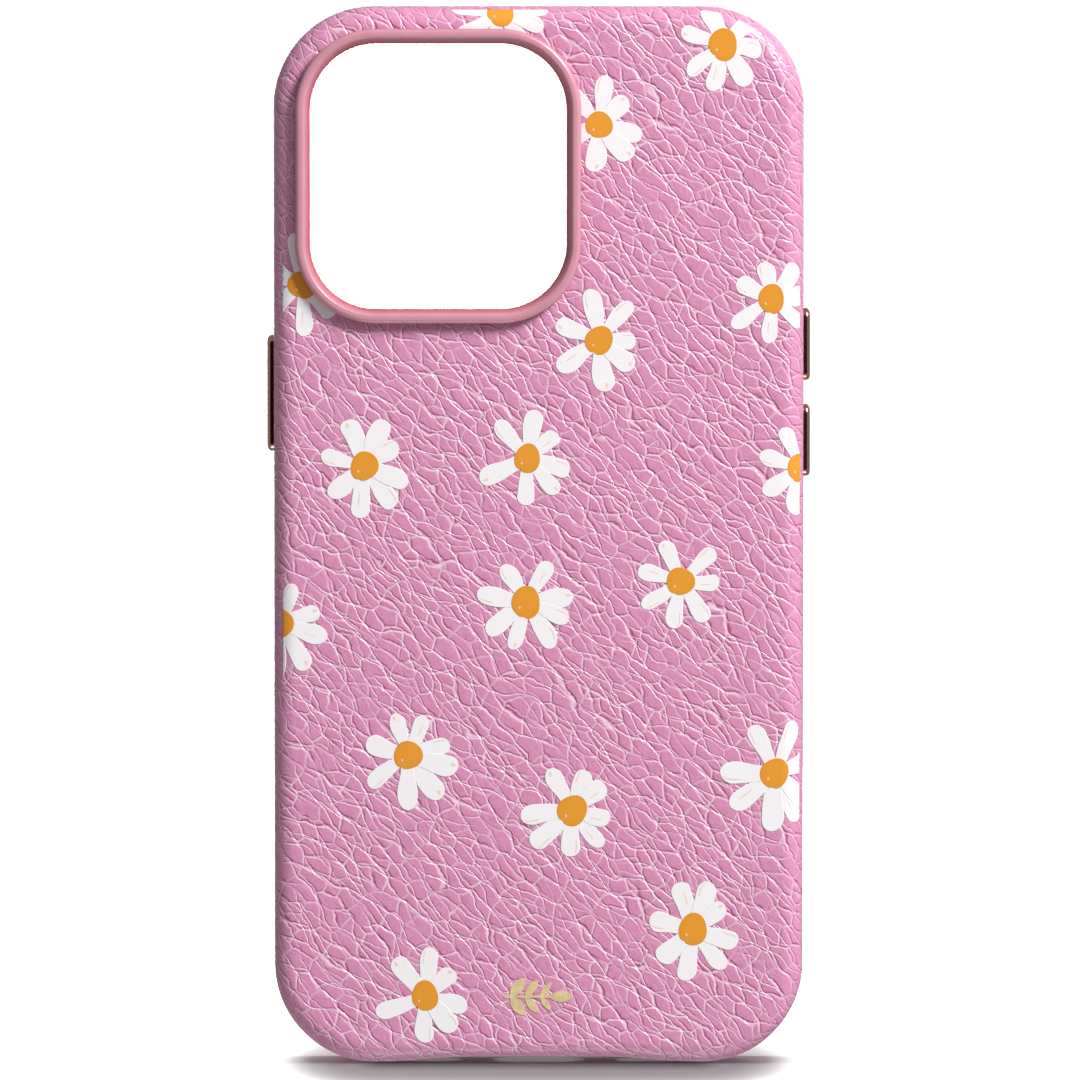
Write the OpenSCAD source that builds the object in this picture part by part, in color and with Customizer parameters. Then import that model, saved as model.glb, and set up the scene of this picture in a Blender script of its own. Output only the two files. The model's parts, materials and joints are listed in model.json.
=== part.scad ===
// Leather-covered phone case with a raised camera ring and three metal side buttons.
// The case stands on its bottom edge: +Z runs up its height, the leather back faces -Y,
// the open front that takes the phone faces +Y, and +X is to the right seen from behind.
// The origin is under the middle of the case, on the surface it stands on.

/* [Phone it holds] */
// Width of the phone
phone_w = 71.5; // [64:0.1:78]
// Height of the phone
phone_h = 146.7; // [138:0.1:165]
// Thickness of the phone
phone_t = 7.65; // [7:0.05:9]
// Gap round the phone's edge
phone_gap = 0.1; // [0.05:0.05:0.2]

/* [Case walls] */
// Radius of the case's corners, seen from behind
corner_r = 14.3; // [12:0.1:16]
// Radius of the rounded edge between the back and the sides
edge_r = 3.0; // [2.4:0.1:3.4]
// Thickness of the leather
leather_t = 0.7; // [0.6:0.05:0.8]
// Thickness of the moulded shell's side walls
shell_wall_t = 1.2; // [1.2:0.05:1.5]
// Thickness of the moulded shell's back panel
shell_back_t = 1.1; // [1:0.05:1.4]
// Thickness of the microfibre lining
lining_t = 0.4; // [0.3:0.05:0.6]

/* [Front rim] */
// How far the rim's lip reaches in over the phone's edge
lip_reach = 0.5; // [0.3:0.05:0.8]
// How far the lip stands above the phone's glass
lip_rise = 1.05; // [0.8:0.05:1.4]
// Height of the soft rim, from the leather's front edge to the lip
rim_h = 1.5; // [1.4:0.05:1.8]

/* [Bottom edge] */
// Width of the shallow scoop in the bottom edge
scoop_w = 45; // [40:1:46]
// Depth of the scoop
scoop_depth = 0.7; // [0.3:0.05:0.7]
// Length of the slope at each end of the scoop
scoop_slope = 13; // [8:1:15]
// Width of the charging port opening
port_w = 13; // [11:0.5:15]
// Height of the charging port opening
port_h = 6.4; // [5.4:0.1:6.8]
// Width of each sound slot
sound_w = 11; // [9:0.5:12]
// Height of each sound slot
sound_h = 4.8; // [4.6:0.1:5.2]
// Distance of each sound slot from the middle
sound_x = 16.5; // [15.5:0.5:17]

/* [Camera ring] */
// Width of the ring
ring_w = 40.6; // [36:0.1:42]
// Height of the ring
ring_h = 41.8; // [36:0.1:44]
// Corner radius of the ring
ring_r = 11.5; // [9:0.1:12]
// Width of the ring's band
ring_band = 2.1; // [1.9:0.1:2.6]
// Distance of the ring from the case's left side
ring_side = 3.2; // [3:0.1:5]
// Distance of the ring from the top of the case
ring_top = 3.3; // [3:0.1:5]
// Height of the ring above the leather, with its gasket
ring_rise = 1.8; // [1.2:0.1:2.2]

/* [Buttons] */
// Length of the power button
power_len = 16.6; // [12:0.1:18]
// Distance of the power button's middle from the top
power_down = 55.1; // [50:0.1:60]
// Length of each volume button
volume_len = 10.4; // [8:0.1:11]
// Distance of the volume up button's middle from the top
volume_up_down = 48.1; // [46:0.1:49]
// Distance of the volume down button's middle from the top
volume_down_down = 61.8; // [61:0.1:64]
// Width of the button heads across the side wall
button_w = 3.0; // [2.6:0.1:3.2]
// Height of the button heads above the leather
button_rise = 1.0; // [0.6:0.1:1.2]
// Travel of a button when it is pressed
button_travel = 0.3; // [0.2:0.05:0.3]
// Length of the ring switch opening
switch_len = 12; // [10:0.5:13]
// Width of the ring switch opening
switch_w = 5.6; // [5:0.1:6]
// Distance of the ring switch opening's middle from the top
switch_down = 32.3; // [31:0.1:34]

/* [Gold ornament] */
// Length of the leaf sprig
sprig_len = 9.8; // [8:0.1:12]
// Height of the sprig's middle above the bottom
sprig_z = 9.6; // [9:0.1:14]
// Thickness of the foil
foil_t = 0.08; // [0.05:0.01:0.1]

/* [Hidden] */
$fn = 96;

// Overall size. Depths are called "back" and count towards the leather back.
wall_t = leather_t + shell_wall_t;
case_w = phone_w + 2 * (phone_gap + wall_t);
case_h = phone_h + 2 * (phone_gap + wall_t);
back_t = leather_t + shell_back_t + lining_t;
front_gap = 0.1;
body_t = back_t + phone_t + front_gap + lip_rise;
depth = body_t + ring_rise;
leather_back = depth / 2 - ring_rise;
shell_back = leather_back - leather_t;
lining_back = shell_back - shell_back_t;
seat_back = lining_back - lining_t;
lip_back = seat_back - phone_t - front_gap;
front_back = -depth / 2;
rim_back = front_back + rim_h;
phone_mid_back = seat_back - phone_t / 2;
rim_edge_r = 0.6;
pocket_edge_r = 0.5;
scoop_steps = 12;
past = 1;                     // how far a cutting tool runs past a face

// Camera ring
ring_x = -case_w / 2 + ring_side + ring_w / 2;
ring_z = case_h - ring_top - ring_h / 2;
gasket_t = 0.2;
gasket_w = 0.9;
gasket_inset = 0.05;
skirt_inset = 1.0;            // skirt's outer face, in from the ring's outer edge
skirt_gap = 0.05;
retainer_out = 0.2;           // retainer's edge, out from the ring's outer edge
lining_gap = 0.15;
ring_edge_r = 0.7;
slope_w = 0.85;               // width of the band's sloping inner face
slope_drop = 1.5;             // height of that face

// Buttons: "out" counts outwards from the wall of the phone's pocket.
plate_t = 0.25;
plate_gap = 0.05;
flange_t = 0.3;
flange_w = 0.4;               // how far the flange reaches past the head
flange_gap = 0.1;
stop_gap = 0.02;
press_gap = 0.03;             // left between the flange and its plate at full travel
slot_gap = 0.08;
leather_slot_gap = 0.2;
head_edge_r = 0.6;
pad_w = 1.4;
pad_inset = 4;                // how much shorter the pad is than the head
pad_gap = 0.1;
pad_out = 0.05;
flange_out = plate_t + press_gap + button_travel;
pocket_depth = flange_out + flange_t + stop_gap;
head_out = wall_t + button_rise;

// Sprig
leaf_pairs = 3;
leaf_len = 3.4;
leaf_r = 2.2;                 // radius of a leaf's two arcs
leaf_angle = 52;
leaf_shrink = 0.12;           // how much shorter each pair is than the one before
stem_w = 0.4;

// Stands a shape drawn flat (x across, y up the height, z towards the back) on its bottom edge.
module stand() {
    rotate([90, 0, 0]) children();
}

// Sweeps a section round a rounded rectangle. The section's x counts out from the corner's axis.
module around(w, h, r) {
    for (turn = [0 : 3]) {
        upright = turn % 2 == 0;
        reach = (upright ? w : h) / 2 - r;
        run = (upright ? h : w) - 2 * r;
        rotate(turn * 90) translate([reach, run / 2, 0]) {
            rotate([90, 0, 0]) linear_extrude(run) children();
            rotate_extrude(angle = 90) children();
        }
    }
}

// Section of a slab's border: from the corner's axis to r, with its back edge and front edge rounded.
module slab_section(r, back, front, back_r, front_r) {
    difference() {
        translate([0, front]) square([r, back - front]);
        if (back_r > 0) translate([r, back]) edge_cut(back_r);
        if (front_r > 0) translate([r, front]) mirror([0, 1]) edge_cut(front_r);
    }
}

// What a rounded edge takes off a square corner that points up and to the right.
module edge_cut(r) {
    difference() {
        translate([-r, -r]) square([r + past, r + past]);
        translate([-r, -r]) circle(r);
    }
}

// A rounded slab standing on the plane z = 0 of the flat drawing's bottom edge.
module slab(w, h, r, back, front, back_r, front_r) {
    around(w, h, r) slab_section(r, back, front, back_r, front_r);
    translate([r - w / 2, r - h / 2, front]) cube([w - 2 * r, h - 2 * r, back - front]);
}

// Height of the scoop at a share t of its slope
function scoop_at(t) = scoop_depth * t * t * (3 - 2 * t);

// The scoop along the bottom edge, as a tool that runs through the whole depth
module scoop_tool() {
    slope = [for (i = [0 : scoop_steps]) i / scoop_steps];
    left = [for (t = slope) [-scoop_w / 2 + scoop_slope * t, scoop_at(t)]];
    right = [for (i = [scoop_steps : -1 : 0]) [-left[i][0], left[i][1]]];
    translate([0, -case_h / 2, front_back - past]) linear_extrude(depth + 2 * past)
        polygon(concat(left, right, [[scoop_w / 2, -past], [-scoop_w / 2, -past]]));
}

// The case's outer form, inset from the leather's surface by a thickness, with the scoop.
module form(inset, front, front_r) {
    difference() {
        slab(case_w - 2 * inset, case_h - 2 * inset, corner_r - inset,
             leather_back - inset, front, edge_r - inset, front_r);
        translate([0, inset, 0]) scoop_tool();
    }
}

// The space for the phone, from a back face out through the front, narrowed by an inset.
module pocket(back, front, inset, back_r) {
    slab(case_w - 2 * (wall_t + inset), case_h - 2 * (wall_t + inset), corner_r - wall_t - inset,
         back, front, back_r, 0);
}

// A pill-shaped outline along y
module pill(len, w) {
    square([w, len - w], center = true);
    for (end = [-1, 1]) translate([0, end * (len - w) / 2]) circle(w / 2);
}

// Places a shape drawn with z outwards and y up on a side wall, its middle a distance down from the
// top. The side is 1 on the right and -1 on the left.
module on_side(side, down) {
    mirror([side < 0 ? 1 : 0, 0, 0])
        translate([case_w / 2 - wall_t, -phone_mid_back, case_h - down])
            rotate([0, 90, 0]) rotate([0, 0, 90]) children();
}

// Slot, pocket and leather opening for one button, as a tool
module button_cut(side, down, len, leather) {
    on_side(side, down) {
        gap = leather ? leather_slot_gap : slot_gap;
        translate([0, 0, -past]) linear_extrude(head_out + past) pill(len + 2 * gap, button_w + 2 * gap);
        if (!leather) translate([0, 0, -past]) linear_extrude(pocket_depth + past)
            pill(len + 2 * (flange_w + flange_gap), button_w + 2 * (flange_w + flange_gap));
    }
}

// The three button cuts
module button_cuts(leather) {
    button_cut(-1, power_down, power_len, leather);
    button_cut(1, volume_up_down, volume_len, leather);
    button_cut(1, volume_down_down, volume_len, leather);
}

// The ring switch opening, as a tool
module switch_cut() {
    on_side(1, switch_down) translate([0, 0, -past])
        linear_extrude(wall_t + 2 * past) pill(switch_len, switch_w);
}

// The charging port and the two sound slots, as a tool
module bottom_cuts() {
    for (slot = [[0, port_w, port_h], [-sound_x, sound_w, sound_h], [sound_x, sound_w, sound_h]])
        translate([slot[0], -phone_mid_back, -past])
            linear_extrude(wall_t + 2 * past) rotate(90) pill(slot[1], slot[2]);
}

// The camera opening, inset from the ring's outer edge, as a tool
module camera_cut(inset) {
    translate([ring_x, 0, ring_z]) stand()
        slab(ring_w - 2 * inset, ring_h - 2 * inset, ring_r - inset, leather_back + past, seat_back - past, 0, 0);
}

// A frame round the camera opening, between two insets from the ring's outer edge
module camera_frame(outer, inner, back, front) {
    translate([ring_x, 0, ring_z]) stand() around(ring_w, ring_h, ring_r)
        translate([ring_r - inner, front]) square([inner - outer, back - front]);
}

// Lifts a flat drawing centred on the case so that it stands on z = 0.
module upright() {
    translate([0, 0, case_h / 2]) stand() children();
}

module leather_cover() {
    color("orchid") difference() {
        upright() difference() {
            form(0, rim_back, 0);
            form(leather_t, rim_back - past, 0);
        }
        camera_cut(skirt_inset - skirt_gap);
        button_cuts(true);
        switch_cut();
        bottom_cuts();
    }
}

module shell() {
    color("pink") difference() {
        upright() difference() {
            form(leather_t, rim_back, 0);
            pocket(lining_back, rim_back - past, 0, pocket_edge_r);
        }
        camera_cut(skirt_inset - skirt_gap);
        button_cuts(false);
        switch_cut();
        bottom_cuts();
    }
}

module rim_bumper() {
    color("hotpink") upright() difference() {
        intersection() {
            form(0, front_back, rim_edge_r);
            translate([-case_w, -case_h, front_back]) cube([2 * case_w, 2 * case_h, rim_h]);
        }
        pocket(rim_back + past, lip_back, 0, 0);
        pocket(rim_back + past, front_back - past, lip_reach, 0);
    }
}

module back_lining() {
    color("lightpink") difference() {
        upright() pocket(lining_back, seat_back, phone_gap + pocket_edge_r, 0);
        camera_cut(-retainer_out - lining_gap);
    }
}

// Section of the ring, from its inner face outwards: a skirt that goes down through the back, and a
// band whose outer edge is rounded and whose inner face slopes down into the opening
module ring_section() {
    base = leather_back + gasket_t;
    top = depth / 2;
    difference() {
        union() {
            slab_section(ring_band, top, base, ring_edge_r, 0);
            translate([0, seat_back]) square([ring_band - skirt_inset, base - seat_back]);
        }
        polygon([[-past, top - slope_drop], [0, top - slope_drop], [slope_w, top], [slope_w, top + past],
                 [-past, top + past]]);
    }
}

module camera_ring() {
    color("salmon") translate([ring_x, 0, ring_z]) stand() around(ring_w, ring_h, ring_r)
        translate([ring_r - ring_band, 0]) ring_section();
}

module camera_gasket() {
    color("dimgray") camera_frame(gasket_inset, gasket_inset + gasket_w, leather_back + gasket_t, leather_back);
}

module camera_retainer() {
    color("mistyrose") camera_frame(-retainer_out, skirt_inset, lining_back, seat_back);
}

// A leaf between two arcs, from the origin along +x
module leaf(len) {
    offset_y = sqrt(leaf_r * leaf_r - len * len / 4);
    intersection() {
        translate([len / 2, offset_y]) circle(leaf_r);
        translate([len / 2, -offset_y]) circle(leaf_r);
    }
}

module foil_sprig() {
    stem_len = sprig_len - leaf_len;
    color("gold") translate([-sprig_len / 2, -leather_back, sprig_z]) stand() linear_extrude(foil_t) {
        translate([0, -stem_w / 2]) square([stem_len + stem_w, stem_w]);
        translate([stem_len, 0]) leaf(leaf_len);
        for (pair = [1 : leaf_pairs], side = [-1, 1])
            translate([stem_len * (pair - 0.6) / leaf_pairs, 0])
                rotate(side * leaf_angle) leaf(leaf_len * (1 + leaf_shrink - leaf_shrink * pair));
    }
}

// A button: a domed head that shows, and a flange that keeps it in the shell
module button_cap(side, down, len) {
    color("rosybrown") on_side(side, down) {
        translate([0, 0, flange_out]) linear_extrude(flange_t) pill(len + 2 * flange_w, button_w + 2 * flange_w);
        for (end = [0, 1]) rotate(end * 180) translate([0, (len - button_w) / 2, 0])
            rotate_extrude(angle = 180) head_section();
        translate([0, (len - button_w) / 2, 0]) rotate([90, 0, 0]) linear_extrude(len - button_w) {
            head_section();
            mirror([1, 0]) head_section();
        }
    }
}

// Half of the head's section, from its middle line outwards
module head_section() {
    slab_section(button_w / 2, head_out, flange_out, head_edge_r, 0);
}

// A soft pad behind the head, which reaches through the plate to the phone's own button
module button_pad(side, down, len) {
    color("gainsboro") on_side(side, down) translate([0, 0, pad_out])
        linear_extrude(flange_out - pad_out) pill(len - pad_inset, pad_w);
}

// A silicone ring between the flange and the plate, which pushes the button back out
module button_spring(side, down, len) {
    color("silver") on_side(side, down) translate([0, 0, plate_t]) linear_extrude(flange_out - plate_t) difference() {
        pill(len + flange_w, button_w + flange_w);
        pill(len - pad_inset + 4 * pad_gap, pad_w + 4 * pad_gap);
    }
}

// A thin plate that closes the button's pocket on the phone's side
module button_retainer(side, down, len) {
    reach = 2 * (flange_w + flange_gap - plate_gap);
    color("lightgray") on_side(side, down) linear_extrude(plate_t) difference() {
        pill(len + reach, button_w + reach);
        pill(len - pad_inset + 2 * pad_gap, pad_w + 2 * pad_gap);
    }
}

module power_cap() { button_cap(-1, power_down, power_len); }
module power_pad() { button_pad(-1, power_down, power_len); }
module power_spring() { button_spring(-1, power_down, power_len); }
module power_retainer() { button_retainer(-1, power_down, power_len); }
module volume_up_cap() { button_cap(1, volume_up_down, volume_len); }
module volume_up_pad() { button_pad(1, volume_up_down, volume_len); }
module volume_up_spring() { button_spring(1, volume_up_down, volume_len); }
module volume_up_retainer() { button_retainer(1, volume_up_down, volume_len); }
module volume_down_cap() { button_cap(1, volume_down_down, volume_len); }
module volume_down_pad() { button_pad(1, volume_down_down, volume_len); }
module volume_down_spring() { button_spring(1, volume_down_down, volume_len); }
module volume_down_retainer() { button_retainer(1, volume_down_down, volume_len); }

leather_cover();
shell();
rim_bumper();
back_lining();
camera_ring();
camera_gasket();
camera_retainer();
foil_sprig();
power_cap();
power_pad();
power_spring();
power_retainer();
volume_up_cap();
volume_up_pad();
volume_up_spring();
volume_up_retainer();
volume_down_cap();
volume_down_pad();
volume_down_spring();
volume_down_retainer();
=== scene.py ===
"""Looks of a leather-covered phone case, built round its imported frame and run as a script."""

import json
import math

import bmesh
import bpy
import numpy as np
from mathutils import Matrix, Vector


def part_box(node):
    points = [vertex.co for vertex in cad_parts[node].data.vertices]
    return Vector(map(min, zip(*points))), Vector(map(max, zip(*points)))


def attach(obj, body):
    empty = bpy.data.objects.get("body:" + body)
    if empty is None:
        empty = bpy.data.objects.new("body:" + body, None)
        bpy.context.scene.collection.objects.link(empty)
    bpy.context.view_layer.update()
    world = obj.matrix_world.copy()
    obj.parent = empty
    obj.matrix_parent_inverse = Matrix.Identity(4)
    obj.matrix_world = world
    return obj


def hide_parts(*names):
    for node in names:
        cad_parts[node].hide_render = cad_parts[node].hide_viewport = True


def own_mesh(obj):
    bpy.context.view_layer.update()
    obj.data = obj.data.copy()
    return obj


bl_info = {
    "name": "Leather phone case",
    "version": (1, 0, 0),
    "blender": (4, 5, 0),
    "location": "View3D > Sidebar > Phone case",
    "description": "Dresses the phone case's frame in grained leather, printed daisies, enamel and rose gold",
    "category": "Object",
}

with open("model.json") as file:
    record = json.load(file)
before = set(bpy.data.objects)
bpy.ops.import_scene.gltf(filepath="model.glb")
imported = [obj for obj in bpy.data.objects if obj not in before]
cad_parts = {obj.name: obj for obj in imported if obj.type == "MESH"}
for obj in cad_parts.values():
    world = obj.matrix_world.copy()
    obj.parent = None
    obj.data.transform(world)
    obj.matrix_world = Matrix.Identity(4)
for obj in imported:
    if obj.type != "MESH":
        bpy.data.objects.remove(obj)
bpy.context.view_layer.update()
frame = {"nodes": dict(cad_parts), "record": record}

MM = 0.001
LEATHER_LOW, LEATHER_HIGH = (np.array(corner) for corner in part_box("leather_cover"))
RING_LOW, RING_HIGH = (np.array(corner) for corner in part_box("camera_ring"))
BUTTONS = ("power", "volume_up", "volume_down")


# ---------------------------------------------------------------- settings

def linear(red, green, blue):
    """A colour given as 0 to 255 in display values, as the linear values that shaders use."""
    shares = (value / 255 for value in (red, green, blue))
    return tuple(share / 12.92 if share <= 0.04 else ((share + 0.055) / 1.055) ** 2.4 for share in shares)


def length_setting(name, description, size):
    """A length whose default is given in millimetres."""
    return bpy.props.FloatProperty(name=name, description=description, default=size * MM, unit="LENGTH")


def colour_setting(name, description, red, green, blue):
    """A colour whose default is given in display values."""
    return bpy.props.FloatVectorProperty(
        name=name, description=description, subtype="COLOR", default=linear(red, green, blue), min=0, max=1)


class CaseSizes(bpy.types.PropertyGroup):
    """Sizes of the leather wrap that the frame's boxes don't give."""
    corner_radius: length_setting("Corner radius", "Radius of the case's corners, seen from behind", 14.3)
    edge_radius: length_setting(
        "Edge radius", "Radius of the rounded edge between the back and the sides", 3.0)
    thickness: length_setting("Leather thickness", "Thickness of the leather at its cut edges", 0.64)
    scoop_width: length_setting("Scoop width", "Width of the shallow scoop in the bottom edge", 45)
    scoop_depth: length_setting("Scoop depth", "Depth of the scoop in the bottom edge", 0.7)
    scoop_slope: length_setting("Scoop slope", "Length of the slope at each end of the scoop", 13)
    ring_radius: length_setting("Ring radius", "Radius of the camera ring's outer corners", 11.5)
    ring_band: length_setting("Ring band", "Width of the camera ring's band", 2.1)
    ring_height: length_setting("Ring height", "Height of the camera ring's band above its gasket", 1.6)
    ring_skirt: length_setting(
        "Ring skirt", "How far the camera ring's skirt reaches down into the back", 2.4)
    cell: length_setting("Mesh cell", "Size of the leather's mesh cells", 0.42)


class GrainSettings(bpy.types.PropertyGroup):
    """How the leather's grain is pressed."""
    spacing: bpy.props.FloatProperty(
        name="Crease spacing", description="Distance between the long creases, in millimetres",
        default=2.0, min=1.0, max=12.0)
    pebble: bpy.props.FloatProperty(
        name="Pebble size", description="Distance between the short creases, in millimetres",
        default=2.1, min=1.0, max=8.0)
    stretch: bpy.props.FloatProperty(
        name="Pebble stretch", description="How much longer the pebbles are along the grain than across it",
        default=1.6, min=1.0, max=4.0)
    crease_width: bpy.props.FloatProperty(
        name="Crease width", description="Width of one slope of a crease, in millimetres",
        default=0.23, min=0.1, max=1.0)
    angle: bpy.props.FloatProperty(
        name="Grain angle", description="Direction the long creases run in, from level",
        default=math.radians(-42), subtype="ANGLE")
    depth: length_setting("Crease depth", "Depth of the main creases", 0.2)


class DaisySettings(bpy.types.PropertyGroup):
    """Sizes of the printed daisies."""
    reach: bpy.props.FloatProperty(
        name="Petal reach", description="How long the petals are against their drawn lengths",
        default=1.06, min=0.5, max=1.5)
    petal_width: length_setting("Petal width", "Widest part of a petal", 2.95)
    centre_radius: length_setting("Centre radius", "Radius of a daisy's orange centre", 2.02)
    ink_height: length_setting("Ink height", "Height of the printed ink above the leather", 0.035)
    left_border: length_setting("Left border", "How far the print runs over the left edge's rounding", 1.75)
    right_border: length_setting(
        "Right border", "How far the print runs over the right and top edges' rounding", 2.8)
    seed: bpy.props.IntProperty(
        name="Seed", description="Seed of the petals' uneven shapes", default=7, min=0)


class Finishes(bpy.types.PropertyGroup):
    """Colours of the case's materials."""
    leather: colour_setting("Leather", "Colour of the dyed leather", 227, 152, 191)
    # Painted shade: the colour that darkens the creases' valleys, where shade falls.
    crease: colour_setting("Creases", "Colour of the dye that settles in the creases", 186, 84, 130)
    # A painted highlight: near-white colour on the lit side of each crease, where its wall faces the key
    # light.
    rubbed: colour_setting(
        "Rubbed creases", "Colour of the leather where it is rubbed beside its creases", 248, 216, 234)
    petal: colour_setting("Petals", "Colour of the petals' ink", 252, 248, 250)
    pencil: colour_setting("Petal strokes", "Colour of the fine strokes on the petals", 240, 188, 172)
    centre: colour_setting("Daisy centres", "Colour of the daisies' centres", 238, 158, 46)
    enamel: colour_setting("Camera ring", "Colour of the ring's coral enamel", 204, 100, 118)
    # A painted highlight: paler enamel along the ring's crest, which faces the light.
    enamel_crest: colour_setting(
        "Camera ring's crest", "Colour of the enamel where it is thin, on the crest", 216, 152, 168)
    shell: colour_setting("Shell", "Colour of the moulded shell", 222, 150, 178)
    rim: colour_setting("Rim", "Colour of the soft front rim", 226, 130, 170)
    lining: colour_setting("Lining", "Colour of the microfibre lining", 222, 168, 188)
    rose_gold: colour_setting("Rose gold", "Colour of the polished buttons", 232, 170, 156)
    foil: colour_setting("Gold foil", "Colour of the stamped foil", 252, 230, 172)


# ---------------------------------------------------------------- node maths

class Socket:
    """A node's output in Python arithmetic: each operator adds the Math node it needs."""

    def __init__(self, nodes, socket):
        self.nodes = nodes
        self.socket = socket

    def math(self, operation, *others):
        inputs = dict(enumerate((self, *others)))
        return self.nodes.add("ShaderNodeMath", {"operation": operation}, inputs)

    def __add__(self, other):
        return self.math("ADD", other)

    __radd__ = __add__

    def __mul__(self, other):
        return self.math("MULTIPLY", other)

    __rmul__ = __mul__

    def __sub__(self, other):
        return self.math("SUBTRACT", other)

    def __rsub__(self, other):
        return self.nodes.add("ShaderNodeMath", {"operation": "SUBTRACT"}, {0: other, 1: self})

    def __truediv__(self, other):
        return self.math("DIVIDE", other)

    def __abs__(self):
        return self.math("ABSOLUTE")

    def least(self, other):
        return self.math("MINIMUM", other)

    def most(self, other):
        return self.math("MAXIMUM", other)

    def ramp(self, low, high):
        """0 below low and 1 above high, with a smooth rise between them."""
        inputs = {"Value": self, "From Min": low, "From Max": high}
        return self.nodes.add("ShaderNodeMapRange", {"interpolation_type": "SMOOTHSTEP"}, inputs)


class Nodes:
    """Adds nodes to a shader tree or a geometry tree."""

    def __init__(self, tree):
        self.tree = tree

    def add(self, kind, settings=None, inputs=None, output=0):
        """One node: its settings first, then the values or links of its sockets. Returns one output."""
        node = self.tree.nodes.new(kind)
        for name, value in (settings or {}).items():
            setattr(node, name, value)
        for name, value in (inputs or {}).items():
            if isinstance(value, Socket):
                self.tree.links.new(value.socket, node.inputs[name])
            else:
                node.inputs[name].default_value = value
        return Socket(self, node.outputs[output])

    def vector(self, operation, first, second):
        return self.add("ShaderNodeVectorMath", {"operation": operation}, {0: first, 1: second})

    def turn(self, vector, angle):
        inputs = {"Vector": vector, "Angle": angle}
        return self.add("ShaderNodeVectorRotate", {"rotation_type": "Z_AXIS"}, inputs)

    def mix(self, share, first, second):
        """A colour that is first where share is 0 and second where it is 1."""
        return self.add("ShaderNodeMix", {"data_type": "RGBA"}, {"Factor": share, 6: first, 7: second}, 2)

    def noise(self, place, scale, detail=2.0, roughness=0.5, output="Fac"):
        inputs = {"Vector": place, "Scale": scale, "Detail": detail, "Roughness": roughness}
        return self.add("ShaderNodeTexNoise", {"noise_dimensions": "3D"}, inputs, output)

    def cracks(self, place, scale, randomness=1.0):
        """Distance from the nearest border between the cells of a broken-up plane."""
        settings = {"voronoi_dimensions": "2D", "feature": "DISTANCE_TO_EDGE"}
        inputs = {"Vector": place, "Scale": scale, "Randomness": randomness}
        return self.add("ShaderNodeTexVoronoi", settings, inputs, "Distance")


def rgba(colour):
    return (*colour, 1.0)


class Finish:
    """A new material with one Principled shader, whose steady values are set as it is made."""

    def __init__(self, name, **steady):
        self.material = bpy.data.materials.new(name)
        self.material.use_nodes = True
        self.nodes = Nodes(self.material.node_tree)
        self.shader = self.material.node_tree.nodes["Principled BSDF"]
        for key, value in steady.items():
            self.shader.inputs[key.replace("_", " ").title().replace("Ior", "IOR")].default_value = value

    def feed(self, name, socket):
        self.material.node_tree.links.new(socket.socket, self.shader.inputs[name])

    def bump(self, height, distance, strength=1.0):
        inputs = {"Height": height, "Distance": distance, "Strength": strength}
        self.feed("Normal", self.nodes.add("ShaderNodeBump", {}, inputs, "Normal"))

    def place(self, kind="Object"):
        return self.nodes.add("ShaderNodeTexCoord", {}, {}, kind)

    def attribute(self, name, output="Fac"):
        return self.nodes.add("ShaderNodeAttribute", {"attribute_name": name}, {}, output)


def in_millimetres(finish, stretch=(1.0, 1.0, 1.0)):
    return finish.nodes.vector("MULTIPLY", finish.place(), tuple(1000 * s for s in stretch))


def shades(finish, share, colour, darker):
    """The colour, and the same colour darker where share is 1."""
    return finish.nodes.mix(share, rgba(colour), rgba(tuple(c * darker for c in colour)))


# ---------------------------------------------------------------- the leather's wrap

def rounded_box_distance(points, centre, half, radius):
    """Signed distance from a rounded rectangle, the nearest points on it and the outward directions."""
    local = points - centre
    sign = np.where(local < 0, -1.0, 1.0)
    reach = np.abs(local) - (half - radius)
    corner = np.maximum(reach, 0)
    length = np.linalg.norm(corner, axis=1)
    inside = np.minimum(reach.max(axis=1), 0)
    along = np.where(reach[:, :1] > reach[:, 1:], [[1.0, 0.0]], [[0.0, 1.0]])
    outward = np.where(length[:, None] > 1e-9, corner / np.maximum(length, 1e-9)[:, None], along) * sign
    distance = length + inside - radius
    return distance, points - distance[:, None] * outward, outward


def pill_distance(points, centre, half_run, radius):
    """Signed distance from a pill whose half run is a vector from its middle to an end's centre."""
    local = points - centre
    share = np.clip(local @ half_run / (half_run @ half_run), -1, 1)
    return np.linalg.norm(local - share[:, None] * half_run, axis=1) - radius


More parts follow.
